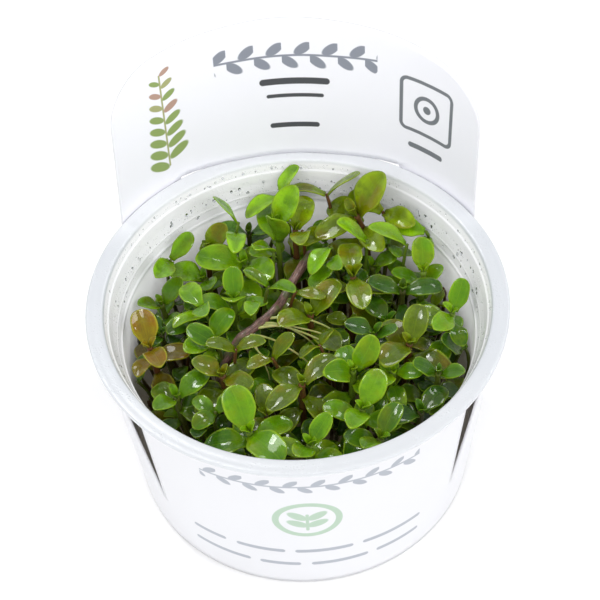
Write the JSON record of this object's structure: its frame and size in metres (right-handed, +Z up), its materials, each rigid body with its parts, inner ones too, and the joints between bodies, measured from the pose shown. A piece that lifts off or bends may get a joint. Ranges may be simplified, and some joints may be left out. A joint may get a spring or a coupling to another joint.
{
  "type": "potted lemon bacopa",
  "caption": "Clear growing cup packed with small opposite-leaved bacopa shoots on gel, in a wrap-round card with a tall arched header.",
  "frame": {"origin": "centre of the cup's flat foot, on the surface that it stands on", "axes": "+Z up, the card's front panel faces -Y, the header stands at the back, +Y, and +X is to the right"},
  "size_m": [0.1, 0.1033, 0.099],
  "materials": {
    "cup_plastic": "clear, slightly milky thin moulded plastic",
    "card": "smooth white printed card, bare of lettering",
    "gel": "clear yellowish growing gel",
    "old_stem": "smooth reddish-brown stem",
    "leaf_bright": "fresh yellow-green leaf with a waxy gloss",
    "leaf_green": "mid green leaf with a waxy gloss",
    "leaf_deep": "dark green leaf with a waxy gloss",
    "leaf_olive": "olive leaf with a waxy gloss",
    "leaf_amber": "yellow-brown leaf with a waxy gloss"
  },
  "bodies": {
    "root": {"cup": "cup_plastic", "card_sleeve": "card", "nutrient_gel": "gel", "creeping_stem": "old_stem", "shoot_01": "leaf_bright", "shoot_02": "leaf_olive", "shoot_03": "leaf_olive", "shoot_04": "leaf_bright", "shoot_05": "leaf_olive", "shoot_06": "leaf_green", "shoot_07": "leaf_green", "shoot_08": "leaf_deep", "shoot_09": "leaf_bright", "shoot_10": "leaf_bright", "shoot_11": "leaf_amber", "shoot_12": "leaf_olive", "shoot_13": "leaf_green", "shoot_14": "leaf_bright", "shoot_15": "leaf_olive", "shoot_16": "leaf_olive", "shoot_17": "leaf_olive", "shoot_18": "leaf_deep", "shoot_19": "leaf_bright", "shoot_20": "leaf_bright", "shoot_21": "leaf_olive", "shoot_22": "leaf_deep", "shoot_23": "leaf_bright", "shoot_24": "leaf_bright", "shoot_25": "leaf_green", "shoot_26": "leaf_bright", "shoot_27": "leaf_bright", "shoot_28": "leaf_green", "shoot_29": "leaf_deep", "shoot_30": "leaf_deep", "shoot_31": "leaf_green", "shoot_32": "leaf_deep", "shoot_33": "leaf_green", "shoot_34": "leaf_deep", "shoot_35": "leaf_green", "shoot_36": "leaf_olive", "shoot_37": "leaf_deep", "shoot_38": "leaf_deep", "shoot_39": "leaf_deep", "shoot_40": "leaf_deep", "shoot_41": "leaf_olive", "shoot_42": "leaf_deep", "shoot_43": "leaf_green", "shoot_44": "leaf_deep", "shoot_45": "leaf_deep", "shoot_46": "leaf_deep", "shoot_47": "leaf_deep"}
  },
  "joints": []
}
